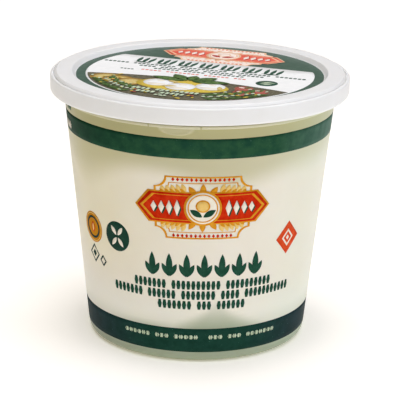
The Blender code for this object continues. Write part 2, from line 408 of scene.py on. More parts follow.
def burrata():
    """Stretched curd skin of burrata: moist, white with a drop of cream, finely fibrous."""
    made, tree, shader = finish(
        "burrata_skin",
        Base_Color="F4F0E4",
        Roughness=0.34,
        IOR=1.38,
        Subsurface_Weight=0.5,
        Subsurface_Radius=(1.0, 0.8, 0.5),
        Subsurface_Scale=0.004,
    )
    colour = node(tree, "Mix", MIXED, Factor=mottle(tree, 6.0, 4.0), A="F1ECDD", B="F8F5EC")
    fibres = mottle(tree, 3.0, 5.0, (1.0, 1.0, 0.3))
    sheen = node(tree, "MapRange", Value=fibres, **MOST_NOISE, To_Min=0.25, To_Max=0.42)
    ridges = node(tree, "Bump", Height=fibres, Distance=0.15 * MM, Strength=1.0)
    feed(tree, shader, Base_Color=colour, Roughness=sheen, Normal=ridges)
    return made


def creamy_whey():
    """Whey with cream in it: cloudy, pale yellow green, wet and shiny."""
    made, tree, shader = finish(
        "creamy_whey",
        Base_Color="DAD5AE",
        Roughness=0.08,
        IOR=1.34,
        Subsurface_Weight=0.6,
        Subsurface_Radius=(1.0, 0.9, 0.5),
        Subsurface_Scale=0.006,
    )
    colour = node(tree, "Mix", MIXED, Factor=mottle(tree, 8.0, 4.0), A="D3CE9F", B="E3DFBF")
    feed(tree, shader, Base_Color=colour)
    return made


# ---------------------------------------------------------------------------------------------
# The cheese and the liquid


def ball_reach(middle, directions, bisector, top):
    """Radius of a soft ball in each direction: a free ellipsoid pressed against the tapered wall,
    the floor and two upright planes. The distances to all of them are joined by a power mean."""
    # A ray from the middle meets the cone of the wall where a t^2 + b t + c = 0.
    base = FOOT_WALL_RADIUS - WALL - GAP
    radius = base + WALL_TAPER * middle[2]
    growth = WALL_TAPER * directions[..., 2]
    a = directions[..., 0] ** 2 + directions[..., 1] ** 2 - growth**2
    a = np.where(np.abs(a) < 1e-6, 1e-6, a)
    b = 2 * (directions[..., :2] @ middle[:2] - radius * growth)
    c = middle[:2] @ middle[:2] - radius**2
    wall = (-b + np.sqrt(np.maximum(b * b - 4 * a * c, 0.0))) / (2 * a)
    shares = [np.where(wall > 0, 1 / np.where(wall > 0, wall, 1.0), 0.0)]
    planes = [((0.0, 0.0, 1.0), FLOOR_TOP + GAP)]
    for side in (-45.0, 45.0):
        turn = math.radians(bisector + side)
        planes.append(((math.cos(turn), math.sin(turn), 0.0), GAP / 2))
    for normal, offset in planes:
        normal = np.array(normal)
        shares.append(np.maximum(-(directions @ normal), 0.0) / (middle @ normal - offset))
    half = np.array((BALL_SPREAD, BALL_SPREAD, top - BALL_MIDDLE))
    shares.append(np.linalg.norm(directions / half, axis=-1))
    return sum(share**SOFTNESS for share in shares) ** (-1 / SOFTNESS)


def ball_place(name):
    """A ball's middle, its bearing in degrees from +X, and the height of its top."""
    bisector = -90.0 + FRONT_SEAM + BALL_SIDES[name]
    turn = math.radians(bisector)
    middle = (BALL_OFFSET * math.cos(turn), BALL_OFFSET * math.sin(turn), BALL_MIDDLE)
    return np.array(middle), bisector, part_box(name)[1].z / MM


def make_ball(name, material):
    """A soft ball: its reach carried over a grid of bearings and heights seen from its middle."""
    middle, bisector, top = ball_place(name)
    bearing = np.radians(np.linspace(0, 360, BALL_STEPS, endpoint=False))[None, :]
    rise = np.radians(np.linspace(-90, 90, BALL_ROWS))[:, None]
    level = np.cos(rise)
    parts = np.broadcast_arrays(level * np.cos(bearing), level * np.sin(bearing), np.sin(rise))
    directions = np.stack(parts, axis=-1)
    reach = ball_reach(middle, directions, bisector, top)
    points = (middle + directions * reach[..., None]).reshape(-1, 3)
    faces = grid_faces(BALL_ROWS, BALL_STEPS)
    piece(f"cheese_{name}", points, faces, material, replaces=[name])


def make_liquid(material):
    """The liquid round the balls: a turned body up to its level, just into the wall all round."""
    reach = FOOT_WALL_RADIUS - WALL + 0.1
    corners = [
        (0.0, LIQUID_LEVEL, 0.0),
        (reach + WALL_TAPER * LIQUID_LEVEL, LIQUID_LEVEL, 0.2),
        (reach + WALL_TAPER * FLOOR_TOP, FLOOR_TOP - 0.1, 2.6),
        (0.0, FLOOR_TOP - 0.1, 0.0),
    ]
    turned_piece("creamy_liquid", corners, 4.0, 144, material)


# ---------------------------------------------------------------------------------------------
# The tub


def fine_turns():
    """Turns for the tub's columns: even all round, closer over the pad and at the notches."""
    even = np.arange(-180.0, 180.0, 1.5)
    pad = np.arange(PAD_ANGLE - 9.0, PAD_ANGLE + 9.0, 0.35)
    notches = [np.arange(angle - 0.8, angle + 0.8, 0.1) for angle in NOTCH_ANGLES]
    turns = np.unique(np.round(np.concatenate([even, pad, *notches]), 3))
    return turns[np.concatenate([[True], np.diff(turns) > 0.04])]


def pad_relief(turn, height):
    """How proud the lifting pad stands: a flat half ellipse hanging from the ring, with a soft
    edge and a fine raised line along it."""
    across = np.radians(turn - PAD_ANGLE) * wall_radius(RING_BOTTOM) / PAD_HALF_WIDTH
    down = np.maximum(RING_BOTTOM - height, 0.0) / PAD_DROP
    inside = (1.0 - np.hypot(across, down)) * PAD_DROP
    below_ring = smoothstep(RING_TOP, RING_BOTTOM, height)
    line = PAD_LINE * bell(inside, PAD_EDGE, PAD_LINE_HALF)
    return below_ring * (PAD_PROUD * smoothstep(0.0, PAD_EDGE, inside) + line)


def make_tub(material):
    """The tub's profile turned about Z, with the ring notched and the pad raised. Each point knows
    what lies behind the wall there: liquid, the air space above it, drawn as painted shade, or the
    solid corner of the foot, drawn partly as painted shade from beneath the tub. A painted
    highlight lies on the ring and the pad."""
    ring = wall_radius(RING_BOTTOM) + RING_PROUD
    mouth = RIM_TOP - 0.8
    under_rim = RIM_TOP - 1.4
    below_pad = RING_BOTTOM - 4.0
    corners = [
        (0.0, FLOOR_TOP, 0.0),
        (wall_radius(FLOOR_TOP) - WALL, FLOOR_TOP, 2.5),
        (wall_radius(mouth) - WALL, mouth, 0.5),
        (wall_radius(RIM_TOP) - WALL + 0.4, RIM_TOP, 0.3),
        (RIM_RADIUS, RIM_TOP, 0.69),
        (RIM_RADIUS, under_rim, 0.69),
        (wall_radius(under_rim), under_rim, 0.4),
        (wall_radius(RING_TOP), RING_TOP, 0.15),
        (ring, RING_TOP, 0.3),
        (ring, RING_BOTTOM, 0.3),
        (wall_radius(RING_BOTTOM), RING_BOTTOM, 0.15),
        (wall_radius(below_pad), below_pad, 0.1),
        (wall_radius(0.0), 0.0, HEEL),
        (FOOT_INNER, 0.0, 0.3),
        (FOOT_INNER - BASE_UNDER, BASE_UNDER, 0.4),
        (0.0, BASE_UNDER, 0.0),
    ]
    profile = filleted(corners, 1.6)
    # The rows are closer over the lifting pad.
    steep = (profile[:, 1] > below_pad) & (profile[:, 1] < RING_BOTTOM - 0.2)
    steep &= profile[:, 0] > wall_radius(profile[:, 1]) - 0.1
    first, last = np.flatnonzero(steep)[[0, -1]]
    close = np.linspace(profile[first], profile[last], 18)
    profile = np.concatenate([profile[:first], close, profile[last + 1 :]])
    turns = fine_turns()
    radius, height = profile[:, :1], profile[:, 1:]
    turn = turns[None, :] + 0 * radius
    height = height + 0 * turn
    wall = wall_radius(height)
    outer = (radius > wall - 0.1) & (height > LOW_BAND[1]) & (height < RING_TOP + 0.3)
    near_notch = np.min([np.abs(turn - angle) for angle in NOTCH_ANGLES], axis=0)
    half_notch = math.degrees(NOTCH_WIDTH / 2 / wall_radius(RING_TOP))
    notch = NOTCH_DEPTH * smoothstep(half_notch * 1.5, half_notch * 0.6, near_notch)
    proud = np.where(outer, np.maximum(radius - wall, 0.0), 0.0)
    relief = np.where(outer, pad_relief(turn, height), 0.0)
    radius = radius - proud * notch + np.maximum(relief - proud, 0.0)
    points = around(radius, height, turn).reshape(-1, 3)
    faces = grid_faces(len(profile), len(turns))[:, ::-1]
    seen = seen_through(turn, height)
    # The ring and the pad are painted lighter: a painted highlight that also makes up for the lid's
    # shadow on them.
    seen["rib_painted_light"] = np.clip(proud * (1 - notch) / RING_PROUD + relief * 0.9, 0.0, 1.0)
    piece("tub_moulding", points, faces, material, seen, ["tub"])


def seen_through(turn, height):
    """Shares from 0 to 1 of what shows through the wall, with painted light and shade in them.
    Liquid shows above an edge up to which the cheese touches the wall: lower and softer at the
    left, and lower over the seam between the two front balls. At the wall's left edge, where it
    stands in the camera's view, the liquid share runs far down as painted edge shade. Between the
    feet of two balls a cleft of deep liquid narrows upwards as a square. All round the cheese draws
    back at its foot, most at the left of the front, and it looks paler low down. The air space
    above the liquid is drawn darker, as painted shade under the lid. Liquid and air space show less
    at the right, as painted light where the wall catches most light; painted warm shade tints the
    darker left, and the right is tinted greener. Painted shade, with a little of the far side's
    print, darkens the left above the upper band, most at the wall's left edge, and the left of the
    heel."""
    at_left = bell(turn, -60.0, 20.0)
    at_right = smoothstep(20.0, 60.0, turn) * smoothstep(150.0, 110.0, turn)
    over_seam = bell(turn, FRONT_SEAM + 4.0, 20.0)
    # Painted light: the wall is lit most at the right, so liquid and air space are shown less
    # there.
    painted_light_dimming = 1.0 - 0.4 * bell(turn, 75.0, 42.0)
    edge = CHEESE_EDGE - 8.0 * at_left - 7.0 * over_seam - 1.5 * at_right
    soft = 4.0 + 6.0 * at_left + 2.5 * over_seam + 2.0 * at_right
    from_seam = np.abs((turn - FRONT_SEAM + 90.0) % 180.0 - 90.0)
    half = 26.0 * np.clip((CLEFT_TOP - height) / (CLEFT_TOP - LOW_BAND[1]), 0.0, 1.0) ** 2
    cleft = 1.0 - smoothstep(half * 0.3, half * 1.4 + 2.0, from_seam)
    cleft *= smoothstep(CLEFT_TOP + 1.0, LOW_BAND[1] - 1.0, height)
    above_band = height - LOW_BAND[1]
    foot_gap = 0.22 * smoothstep(6.5, -1.0, above_band)
    foot_gap += 0.5 * bell(turn, -24.0, 18.0) * smoothstep(3.0, -0.5, above_band)
    middle_height = smoothstep(24.0, 50.0, height) * smoothstep(101.0, 97.0, height)
    # Painted shade at the left above the upper band, darkest at the wall's left edge, with a little
    # of the far side's print.
    strip_shade_and_far_print = 0.6 * bell(turn, FAR_LEFT, 9.0) + 0.08 * smoothstep(10.0, -40.0, turn)
    strip_shade_and_far_print *= smoothstep(TOP_BAND[1], TOP_BAND[1] + 1.5, height)
    # Painted shade at the left of the heel, with a little of the far side's print.
    at_heel = 0.33 * bell(turn, -66.0, 20.0) * smoothstep(6.0, 3.0, height)
    # Painted edge shade: the liquid share runs far down where the wall's left edge stands in the
    # camera's view.
    edge_shade = 0.8 * bell(turn, FAR_LEFT, 14.0) * smoothstep(30.0, 72.0, height)
    return {
        "liquid": painted_light_dimming * np.maximum(smoothstep(edge - soft, edge + soft, height), edge_shade),
        "cleft": np.maximum(cleft, foot_gap),
        # Painted shade of the air space under the lid, above the liquid.
        "headspace_shade": painted_light_dimming * smoothstep(LIQUID_LEVEL - 1.0, LIQUID_LEVEL + 2.0, height),
        "pale": 0.9 * smoothstep(36.0, 18.0, height),
        # The foot's solid corner, drawn partly as painted shade from beneath the tub.
        "foot": 1.0 - smoothstep(3.0, 9.0, height),
        # Painted warm shade on the darker left of the wall, at middle heights.
        "yellow": bell(turn, -56.0, 30.0) * middle_height,
        "green": at_right * (0.6 + 0.4 * smoothstep(70.0, 80.0, height)),
        "far_print_and_left_shade": strip_shade_and_far_print + at_heel,
    }


# ---------------------------------------------------------------------------------------------
# The lid


def make_lid(material):
    """The lid's profile turned about Z: recessed panel, raised ring with a sloping outer side, fine
    groove, edge bead, skirt."""
    inside = LID_RADIUS - WALL
    panel = LABEL_TOP - FILM - UNDER_FILM
    groove, bead = LID_TOP - GROOVE_DROP, LID_TOP - BEAD_DROP
    grip = RIM_TOP - GRIP_DROP
    bottom = SKIRT_BOTTOM + 0.3
    corners = [
        (0.0, panel, 0.0),
        (RECESS_FOOT, panel, 0.8),
        (RECESS_EDGE, LID_TOP, 0.6),
        (RAISED_EDGE, LID_TOP, 0.4),
        (SLOPE_FOOT, bead, 0.1),
        (GROOVE_INNER, groove, 0.1),
        (GROOVE_OUTER, groove, 0.1),
        (GROOVE_OUTER + 0.05, bead, 0.15),
        (LID_RADIUS, bead, 0.8),
        (LID_RADIUS, bottom + 0.9, 0.5),
        (LID_RADIUS - 0.4, bottom, 0.35),
        (inside, bottom, 0.2),
        (inside, grip - GRIP_HALF, 0.2),
        (inside - GRIP_PROUD, grip, 0.3),
        (inside, grip + GRIP_HALF, 0.2),
        (inside, groove - WALL, 0.2),
        (RAISED_EDGE - 0.05, groove - WALL, 0.2),
        (RAISED_EDGE - 0.35, LID_TOP - WALL, 0.3),
        (RECESS_EDGE + 1.2, LID_TOP - WALL, 0.3),
        (RECESS_EDGE + 0.1, panel - WALL, 0.3),
        (0.0, panel - WALL, 0.0),
    ]
    turned_piece("lid_moulding", corners, 2.0, 320, material, ["lid"])


def make_label(material):
    """The label film: a thin disc with a soft cut edge, in the lid's recess."""
    corners = [
        (0.0, LABEL_TOP, 0.0),
        (LABEL_RADIUS, LABEL_TOP, 0.1),
        (LABEL_RADIUS, LABEL_TOP - FILM, 0.1),
        (0.0, LABEL_TOP - FILM, 0.0),
    ]
    turned_piece("label_film", corners, 6.0, 240, material, ["lid_label"])


# ---------------------------------------------------------------------------------------------
# Flat artwork, in millimetres across and up


def polygon(corners, step=1.5):
    """An outline through corners, with a point about each step millimetres."""
    corners = np.array(corners, float)
    runs = []
    for start, end in zip(corners, np.roll(corners, -1, axis=0)):
        count = max(1, round(np.linalg.norm(end - start) / step))
        runs.append(np.linspace(start, end, count, endpoint=False))
    return np.concatenate(runs)


def lozenge(width, height, step=4.0):
    """A diamond with its points at the middles of its box, and more points on its sides."""
    return polygon([(width / 2, 0), (0, height / 2), (-width / 2, 0), (0, -height / 2)], step)


def bead(width, height):
    """A long six-sided bead, with short flat ends."""
    end = 0.28 * width
    half = height / 2
    tip = width / 2
    return polygon([(tip, 0), (end, half), (-end, half), (-tip, 0), (-end, -half), (end, -half)])


def oval(width, height, count=40):
    """An ellipse: (w/2 cos a, h/2 sin a)."""
    angle = np.linspace(0, 2 * math.pi, count, endpoint=False)
    return np.stack([width / 2 * np.cos(angle), height / 2 * np.sin(angle)], axis=1)


def leaf(length, width, count=9):
    """A pointed oval that stands on the origin: its half width at share t of its length is
    w/2 sin(pi t)^0.85."""
    share = np.linspace(0, 1, count)
    half = width / 2 * np.sin(math.pi * share) ** 0.85
    right = np.stack([half, share * length], axis=1)
    left = np.stack([-half, share * length], axis=1)[::-1]
    return np.concatenate([right, left[1:-1]])


def ticket(width, height, bite):
    """A rectangle whose corners are bitten out by quarter circles."""
    runs = []
    for x, y, start in ((1, -1, 180), (1, 1, 270), (-1, 1, 0), (-1, -1, 90)):
        angle = np.radians(np.linspace(start, start - 90, 7))
        corner = np.array((x * width / 2, y * height / 2))
        runs.append(corner + bite * np.stack([np.cos(angle), np.sin(angle)], axis=1))
    return polygon(np.concatenate(runs))


def moved(flat, at=(0.0, 0.0), turn=0.0):
    """A flat shape turned counterclockwise by degrees, and moved."""
    c, s = math.cos(math.radians(turn)), math.sin(math.radians(turn))
    return flat @ np.array(((c, s), (-s, c))) + np.array(at)


def filled(outline, rings=1, inner=0.0):
    """A patch: the outline shrunk towards its middle in rings, from a share of its size to all."""
    middle = outline.mean(axis=0)
    share = np.linspace(inner, 1.0, rings + 1)[:, None, None]
    return middle + share * (outline - middle)


def round_wall(flat, layer):
    """Lays a patch given as turns and heights straight on the wall."""
    turn, height = flat[..., 0], flat[..., 1]
    return around(wall_radius(height) + INK + layer * INK_LAYER, height, turn)


def on_wall(turn, height):
    """Lays flat artwork round a place on the wall: across becomes a turn about Z, up a height."""

    def lay(flat, layer):
        angle = turn + np.degrees(flat[..., 0] / wall_radius(height))
        return round_wall(np.stack([angle, height + flat[..., 1]], axis=-1), layer)

    return lay


def on_label(across, up):
    """Lays flat artwork round a place on the label, whose print is turned a little in the lid."""

    def lay(flat, layer):
        placed = moved(flat + np.array((across, up)), turn=LABEL_PRINT_TURN)
        height = np.full(placed.shape[:-1], LABEL_TOP + INK + layer * INK_LAYER)
        return np.concatenate([placed, height[..., None]], axis=-1)

    return lay


class Artwork:
    """Patches of flat artwork, gathered by ink, each laid on its surface."""

    def __init__(self):
        self.patches = {}

    def add(self, ink_name, patch, lay, layer=0, closed=True):
        """A grid of flat points, closed along its rows or not, and turned to face away from the
        surface that it lies on."""
        points = lay(patch, layer)
        lift = lay(patch, layer + 1) - points
        slant = np.cross(points[1:, 1:] - points[:-1, :-1], points[1:, :-1] - points[:-1, 1:])
        if np.sum(slant * lift[:-1, :-1]) < 0:
            points = points[:, ::-1]
        self.patches.setdefault(ink_name, []).append((points, closed))

    def shape(self, ink_name, outline, lay, layer=0, rings=1):
        """All that is inside an outline. A larger shape needs more rings to follow the wall."""
        self.add(ink_name, filled(outline, rings), lay, layer)

    def line(self, ink_name, outline, inner, lay, layer=0):
        """A line inside an outline, from a share of its size to all of it."""
        self.add(ink_name, filled(outline, 1, inner), lay, layer)

    def make(self, name, ink_name, material):
        """One piece of all patches in an ink, thickened towards the surface that it lies on."""
        points, faces, count = [], [], 0
        for patch, closed in self.patches[ink_name]:
            rows, columns = patch.shape[:2]
            points.append(patch.reshape(-1, 3))
            faces.append(count + grid_faces(rows, columns, closed))
            count += rows * columns
        made = piece(name, np.concatenate(points), np.concatenate(faces), material)
        body = made.modifiers.new("thickness", "SOLIDIFY")
        body.thickness = INK_LAYER * MM
        body.offset = -1.0


def draw_emblem(art, lay, inks, first=0, backed=False):
    """A pointed plaque with thin lines, over a ticket frame with sprays of leaves and rows of
    beads, and a seal in its middle with two leaves under a round cheese. It is 54 by 26 mm. The
    inks are given for the plaque's band, its lines, what is light, the ground, and what is dark."""

    def put(part, outline, layer, at=(0.0, 0.0), turn=0.0, rings=1, inner=0.0):
        art.add(inks[part], moved(filled(outline, rings, inner), at, turn), lay, first + layer)

    frame_outline = ticket(38.0, 25.8, 4.4)
    if backed:
        put("ground", frame_outline, 0, rings=6)
    put("line", frame_outline, 1, inner=0.95)
    put("line", ticket(33.6, 20.6, 3.6), 1, inner=0.97)
    for side in (1, -1):
        facing = 0.0 if side > 0 else 180.0
        for across in np.linspace(-11.4, 11.4, 14):
            put("band", lozenge(1.3, 1.6), 1, (across, side * 11.55))
        for turn in (-66.0, -33.0, 0.0, 33.0, 66.0):
            base = moved(np.array(((0.0, 4.4),)), turn=turn * 0.5)[0] * (1.9, side)
            put("line", leaf(5.6, 2.5), 1, base, facing + side * turn)
        for step in range(5):
            for way in (1, -1):
                base = (way * (6.6 + 2.1 * step), side * 5.9)
                put("light", leaf(4.3 - 0.3 * step, 1.9), 2, base, facing - way * side * 20.0)
                put("line", leaf(3.0 - 0.2 * step, 1.2), 3, base, facing - way * side * 48.0)
    plaque = polygon([(27, 0), (21.5, 6.6), (-21.5, 6.6), (-27, 0), (-21.5, -6.6), (21.5, -6.6)])
    put("line", plaque, 4, rings=8)
    put("band", plaque * (0.968, 0.92), 5, rings=8)
    put("line", plaque * (0.92, 0.79), 6, inner=0.95)
    for side in (1, -1):
        for step, height in enumerate((6.8, 6.0, 5.2, 4.4)):
            place = side * (9.9 + 3.1 * step)
            put("dark", lozenge(2.5, height), 6, (place + 0.5, -0.5))
            put("ground", lozenge(2.4, height), 7, (place, 0.0))
    seal = oval(14.6, 14.6)
    put("line", seal, 8, rings=3)
    put("ground", seal * 0.88, 9, rings=3)
    put("line", seal * 0.8, 10, inner=0.92)
    put("dark", leaf(5.6, 2.4), 10, (-0.2, -3.6), 58.0)
    put("dark", leaf(5.6, 2.4), 10, (0.2, -3.6), -58.0)
    put("line", oval(5.6, 5.2), 11, (0.0, 0.9), rings=2)
    put("light", oval(4.4, 4.0), 12, (0.0, 0.9), rings=2)


def draw_leaf_row(art, ink_name, lay, count, pitch, height):
    """A row of upright sprigs: in each a tall leaf between two short ones."""
    for place in (np.arange(count) - (count - 1) / 2) * pitch:
        for way, share in ((0, 1.0), (1, 0.62), (-1, 0.62)):
            foot = (place - 0.2 * way, -height / 2)
            outline = moved(leaf(height * share, height * 0.27 * share**0.4), foot, 27.0 * way)
            art.shape(ink_name, outline, lay, 0, 2)


def draw_sheaf_row(art, ink_name, lay, count, pitch, height, layer=0):
    """A row of sheaves: in each three upright leaves on a bar, broad enough to read when the row
    is seen at a flat angle."""
    for place in (np.arange(count) - (count - 1) / 2) * pitch:
        for aside in (-1, 0, 1):
            foot = (place + aside * pitch * 0.26, -height / 2)
            art.shape(ink_name, moved(leaf(height, pitch * 0.2), foot, -4.0 * aside), lay, layer, 2)
        bar = moved(lozenge(pitch * 0.86, height * 0.22), (place, -height * 0.42))
        art.shape(ink_name, bar, lay, layer + 1)


def draw_bead_row(art, ink_name, lay, groups, pitch, height, layer=0):
    """A row of small beads in groups, with one left out between two groups."""
    slots = sum(groups) + len(groups) - 1
    place = -(slots - 1) / 2 * pitch
    for group in groups:
        for _ in range(group):
            outline = moved(bead(pitch * 0.88, height), (place, 0.0))
            art.shape(ink_name, outline, lay, layer)
            place += pitch
        place += pitch


def draw_badges(art):
    """At the left of the front a gold and a green badge with a small mark, and a red one at the
    right. Each is a plain device of rings, leaves or lozenges."""
    gold_badge = on_wall(-56.6, 50.3)
    art.shape("deep_gold", oval(12.2, 12.8), gold_badge, 0, 4)
    art.line("pale_gold", oval(11.2, 11.8), 0.95, gold_badge, 1)
    art.line("green", oval(9.0, 9.4), 0.80, gold_badge, 1)
    art.shape("red", moved(leaf(4.6, 2.6), (0.0, -2.3)), gold_badge, 1, 2)
    art.shape("pale_gold", moved(leaf(3.4, 1.3), (0.0, -1.7)), gold_badge, 2, 2)
    green_badge = on_wall(-39.4, 50.0)
    art.shape("green", oval(12.0, 12.4), green_badge, 0, 4)
    for turn in (35.0, -35.0, 145.0, -145.0):
        base = moved(np.array(((0.0, 0.6),)), turn=turn)[0]
        art.shape("cream", moved(leaf(4.4, 1.7), base, turn), green_badge, 1)
    small_mark = on_wall(-57.4, 39.0)
    art.line("green", lozenge(7.0, 8.0), 0.76, small_mark)
    art.shape("green", lozenge(2.6, 3.2), small_mark)
    art.line("green", moved(lozenge(4.2, 5.0), (5.8, -1.8)), 0.62, small_mark)
    red_mark = on_wall(45.8, 49.6)
    art.shape("vermilion", lozenge(12.4, 14.0, 1.2), red_mark, 0, 6)
    art.line("cream", lozenge(6.2, 7.4), 0.70, red_mark, 1)
    art.shape("cream", lozenge(1.8, 2.2), red_mark, 1)


def draw_wall_print(art):
    """Two bands all round; on the front the emblem, a row of sprigs, rows of beads and badges; and
    at the left, where the print of the back begins, small rows on and above the upper band."""
    for bottom, top in (TOP_BAND, LOW_BAND):
        turn, height = np.meshgrid(np.arange(-180.0, 180.0, 1.5), np.linspace(bottom, top, 6))
        art.add("green", np.stack([turn, height], axis=-1), round_wall)
    inks = dict(band="red", line="gold", light="pale_gold", ground="cream", dark="green")
    draw_emblem(art, on_wall(2.2, 66.0), inks)
    draw_leaf_row(art, "soft_green", on_wall(3.5, 41.8), 7, 6.9, 9.8)
    for ink_name, turn, up, groups, pitch, height in (
        ("soft_green", 3.2, 33.5, (7, 10, 10), 1.95, 3.7),
        ("soft_green", 3.2, 29.2, (7, 6, 7, 4, 11), 1.95, 3.7),
        ("soft_green", 2.5, 24.9, (7, 3, 6), 1.95, 3.6),
        ("pale", -18.5, 11.0, (6, 3, 5), 1.95, 1.7),
        ("pale", 24.6, 11.0, (3, 3, 7), 1.95, 1.7),
        ("cream", -87.0, 88.9, (3, 5, 4), 2.1, 3.2),
        ("soft_green", -74.5, 96.8, (2, 3), 1.9, 2.4),
    ):
        draw_bead_row(art, ink_name, on_wall(turn, up), groups, pitch, height)
    draw_badges(art)


def zone(radius, low, high, columns=61, rows=9):
    """The part of a disc between two curves, as a grid: at each place across, a column of points
    runs from the lower curve to the upper one, both held inside the circle. The columns end where
    the upper curve leaves the circle."""
    tried = np.linspace(-radius, radius, 1001)
    open_part = tried[high(tried) > -np.sqrt(radius**2 - tried**2)]
    half = (open_part[-1] - open_part[0]) / 2
    across = -half * np.cos(np.linspace(0, math.pi, columns))[None, :]
    reach = np.sqrt(np.maximum(radius**2 - across**2, 0.0))
    bottom, top = np.clip(low(across), -reach, reach), np.clip(high(across), -reach, reach)
    up = bottom + (top - bottom) * np.linspace(0, 1, rows)[:, None]
    return np.stack([across + 0 * up, up], axis=-1)


def picture_top(across):
    """Upper edge of the picture zone: a low arch."""
    return PICTURE_SIDES + PICTURE_RISE * (1.0 - (across / LABEL_ZONE_RADIUS) ** 2)


def draw_still_life(art, lay):
    """Plain shapes on a dark board: slices of bread at the left, three whole white cheeses in oil
    under a fan of leaves, tomatoes at the right, and a garland of sprigs and crumbs in front."""
    for step in range(3):
        place = (-32.6 + 6.0 * step, -20.2 - 2.2 * step)
        art.shape("crust", moved(oval(12.6, 11.2), place, 24.0), lay, 2 + 2 * step, 2)
        art.shape("crumb", moved(oval(9.4, 7.8), place, 24.0), lay, 3 + 2 * step, 2)
    art.shape("oil", moved(oval(38.0, 19.0), (1.0, -23.0)), lay, 8, 3)
    for step, place in enumerate(((-9.5, -21.5), (12.0, -21.0), (1.2, -25.5))):
        art.shape("white", moved(oval(12.0, 11.0), place), lay, 9 + 2 * step, 2)
        art.shape("cream", moved(oval(8.0, 2.8), place + np.array((0.6, -2.9))), lay, 10 + 2 * step)
        art.shape("cream", moved(oval(3.2, 2.4), place + np.array((0.0, 3.0))), lay, 10 + 2 * step)
    for place, turn in (((-6.0, -27.0), -74.0), ((17.5, -25.5), 20.0), ((-1.5, -20.0), 64.0)):
        art.shape("crumb", moved(leaf(6.0, 2.2), place, turn), lay, 15, 2)
    for turn, length in ((-78.0, 15.0), (-44.0, 11.5), (0.0, 8.0), (44.0, 11.5), (78.0, 15.0)):
        base = moved(np.array(((0.0, 1.6),)), (1.0, -16.4), turn)[0]
        art.shape("leaf", moved(leaf(length, 5.4), base, turn), lay, 16, 2)
    for step, place in enumerate(((24.6, -17.4), (31.8, -20.4), (26.0, -24.2))):
        art.shape("tomato", moved(oval(7.4, 7.0), place), lay, 2 + 2 * step, 2)
        art.shape("blush", moved(oval(2.4, 1.5), place + np.array((-1.2, 1.0))), lay, 3 + 2 * step)
        art.shape("leaf", moved(leaf(3.6, 1.6), place, -30.0 + 20.0 * step), lay, 3 + 2 * step)
    for side in (1, -1):
        for step in range(8):
            turn = side * (22.0 + 4.2 * step)
            for way in (1, -1):
                base = around(39.2 + 1.2 * way, 0.0, turn)[:2]
                sprig = moved(leaf(5.4, 2.2), base, turn - side * (90.0 + 46.0 * way))
                art.shape("leaf", sprig, lay, 9 + step % 2)
            art.shape("pale", moved(oval(1.7, 1.7, 12), around(39.2, 0.0, turn)[:2]), lay, 11)
    # Each next crumb is 0.755 of the zone's width and 0.570 of its depth further on, so that
    # crumbs of one ink stay apart.
    draw = np.random.default_rng(4)
    for kind, (ink_name, count) in enumerate((("oil", 34), ("pale", 30), ("tomato", 9))):
        steps = np.arange(count)
        turn = -62.0 + 124.0 * ((0.17 * kind + 0.755 * steps) % 1.0)
        away = 32.0 + 11.5 * ((0.29 * kind + 0.570 * steps) % 1.0)
        sizes, turns = draw.uniform(1.1, 2.6, count), draw.uniform(0.0, 180.0, count)
        for place, size, own_turn in zip(around(away, 0.0, turn)[:, :2], sizes, turns):
            art.shape(ink_name, moved(oval(size, size * 0.55, 10), place, own_turn), lay, 12 + kind)


def draw_label_print(art):
    """On the green film: a white zone, the emblem above it, a row of sheaves and rows of beads on
    it, and below it the picture zone inside a thin white line, with three more rows of beads."""

    def bottom(across):
        return 0 * across - LABEL_ZONE_RADIUS

    def white_top(across):
        return 0 * across + LABEL_WHITE_TOP

    middle = on_label(0.0, 0.0)
    art.add("white", zone(LABEL_ZONE_RADIUS, bottom, white_top), middle, 0, False)
    art.add("board", zone(LABEL_ZONE_RADIUS - 0.8, bottom, picture_top), middle, 1, False)
    inks = dict(band="coral", line="peach", light="blush", ground="blush", dark="rust")
    draw_emblem(art, on_label(-1.5, 32.6), inks, 1, True)
    draw_sheaf_row(art, "label_green", on_label(-1.0, 13.2), 7, 9.2, 9.4, 1)
    for ink_name, across, up, groups, pitch, height in (
        ("label_green", -1.0, 6.6, (6, 10, 11, 9, 7), 1.85, 1.7),
        ("label_green", -1.0, 3.6, (4, 9, 7, 6), 1.85, 1.7),
        ("label_green", -1.0, 0.8, (6, 5, 8), 1.85, 1.6),
        ("coral", -2.0, -2.8, (5, 8, 6, 3), 1.8, 1.3),
        ("label_green", -30.0, -4.0, (4,), 1.5, 1.2),
        ("pale", -2.0, -33.8, (4, 3, 5), 2.0, 2.8),
        ("pale", -2.5, -37.8, (4, 5), 2.0, 2.8),
        ("pale", -1.0, -41.4, (3,), 1.8, 1.6),
    ):
        layer = PICTURE_TOP_LAYER if up < PICTURE_SIDES else 1
        draw_bead_row(art, ink_name, on_label(across, up), groups, pitch, height, layer)
    badge = on_label(30.0, -5.6)
    art.shape("label_green", oval(8.8, 8.8), badge, 1, 2)
    art.shape("pale", moved(lozenge(6.4, 1.8), (0.0, 1.2)), badge, 2)
    art.shape("pale", moved(lozenge(5.4, 1.8), (0.0, -1.2)), badge, 2)
    draw_still_life(art, middle)


